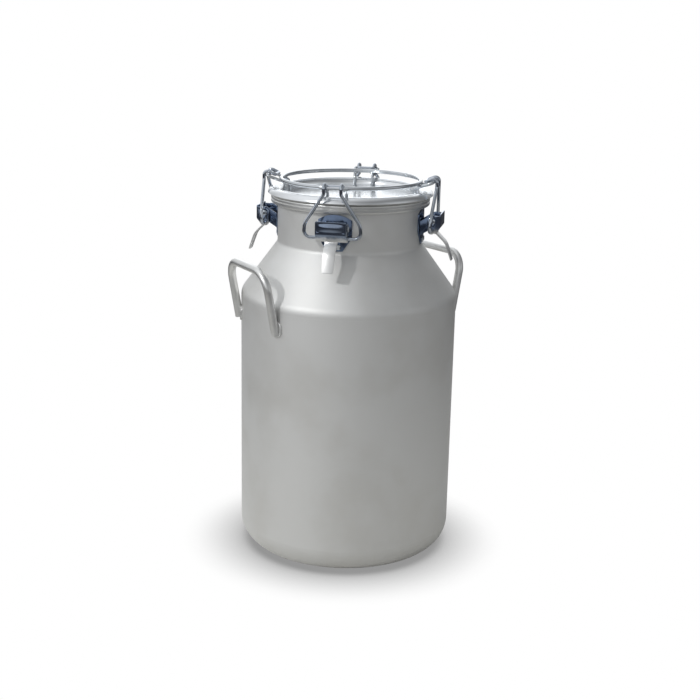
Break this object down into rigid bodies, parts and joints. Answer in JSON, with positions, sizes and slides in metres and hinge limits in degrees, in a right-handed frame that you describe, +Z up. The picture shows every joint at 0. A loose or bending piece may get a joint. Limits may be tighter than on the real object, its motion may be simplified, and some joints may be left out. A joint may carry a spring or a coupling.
{
  "type": "milk can",
  "caption": "Straight-sided metal milk can with a coned shoulder, a clamped round lid, over-centre wire latches round its neck and two rod handles.",
  "frame": {"origin": "centre of the base, on the ground", "axes": "+Z up the can's axis; -Y through the front latch, +X through the right latch; the left handle lies between the front and left latches"},
  "size_m": [0.3391, 0.3353, 0.5853],
  "materials": {
    "satin_can": "fine matt blasted aluminium",
    "machined_rim": "turned satin aluminium",
    "handle_rod": "drawn satin aluminium rod",
    "polished_lid": "polished spun aluminium",
    "seal_rubber": "matt grey food rubber",
    "bright_wire": "bright plated wire",
    "bail_wire": "bright plated spring wire",
    "latch_fasteners": "bright plated steel",
    "lever_plate": "bright zinc plated steel, slightly blue",
    "base_plate": "bright zinc plated steel, slightly blue"
  },
  "bodies": {
    "can": {"body_shell": "satin_can", "shoulder_neck": "satin_can", "mouth_ring": "machined_rim", "handle_left": "handle_rod", "handle_left_welds": "handle_rod", "handle_right": "handle_rod", "handle_right_welds": "handle_rod", "latch_base_front": "base_plate", "latch_rivets_front": "latch_fasteners", "latch_pin_front": "latch_fasteners", "latch_base_right": "base_plate", "latch_rivets_right": "latch_fasteners", "latch_pin_right": "latch_fasteners", "latch_base_back": "base_plate", "latch_rivets_back": "latch_fasteners", "latch_pin_back": "latch_fasteners", "latch_base_left": "base_plate", "latch_rivets_left": "latch_fasteners", "latch_pin_left": "latch_fasteners"},
    "lid": {"lid_shell": "polished_lid", "lid_gasket": "seal_rubber", "clamp_ring": "bright_wire", "ring_bracket_front": "bright_wire", "ring_bracket_right": "bright_wire", "ring_bracket_back": "bright_wire", "ring_bracket_left": "bright_wire"},
    "lever_front": {"latch_lever_front": "lever_plate"},
    "bail_front": {"latch_bail_front": "bail_wire"},
    "lever_right": {"latch_lever_right": "lever_plate"},
    "bail_right": {"latch_bail_right": "bail_wire"},
    "lever_back": {"latch_lever_back": "lever_plate"},
    "bail_back": {"latch_bail_back": "bail_wire"},
    "lever_left": {"latch_lever_left": "lever_plate"},
    "bail_left": {"latch_bail_left": "bail_wire"}
  },
  "joints": [
    {"name": "lid_lift", "type": "slide", "parent": "can", "child": "lid", "axis": [0, 0, 1], "range_m": [0, 0.24]},
    {"name": "lever_front_swing", "type": "hinge", "parent": "can", "child": "lever_front", "pos_m": [0, -0.129, 0.521], "axis": [-1, 0, 0], "range_deg": [0, 100]},
    {"name": "bail_front_swing", "type": "hinge", "parent": "lever_front", "child": "bail_front", "pos_m": [0, -0.1275, 0.507], "axis": [-1, 0, 0], "range_deg": [-85, 0]},
    {"name": "lever_right_swing", "type": "hinge", "parent": "can", "child": "lever_right", "pos_m": [0.129, 0, 0.521], "axis": [0, -1, 0], "range_deg": [0, 100]},
    {"name": "bail_right_swing", "type": "hinge", "parent": "lever_right", "child": "bail_right", "pos_m": [0.1275, 0, 0.507], "axis": [0, -1, 0], "range_deg": [-85, 0]},
    {"name": "lever_back_swing", "type": "hinge", "parent": "can", "child": "lever_back", "pos_m": [0, 0.129, 0.521], "axis": [1, 0, 0], "range_deg": [0, 100]},
    {"name": "bail_back_swing", "type": "hinge", "parent": "lever_back", "child": "bail_back", "pos_m": [0, 0.1275, 0.507], "axis": [1, 0, 0], "range_deg": [-85, 0]},
    {"name": "lever_left_swing", "type": "hinge", "parent": "can", "child": "lever_left", "pos_m": [-0.129, 0, 0.521], "axis": [0, 1, 0], "range_deg": [0, 100]},
    {"name": "bail_left_swing", "type": "hinge", "parent": "lever_left", "child": "bail_left", "pos_m": [-0.1275, 0, 0.507], "axis": [0, 1, 0], "range_deg": [-85, 0]}
  ],
  "couplings": [
    {"joint": "bail_front_swing", "follows": "lever_front_swing", "ratio": -0.85},
    {"joint": "bail_right_swing", "follows": "lever_right_swing", "ratio": -0.85},
    {"joint": "bail_back_swing", "follows": "lever_back_swing", "ratio": -0.85},
    {"joint": "bail_left_swing", "follows": "lever_left_swing", "ratio": -0.85}
  ]
}
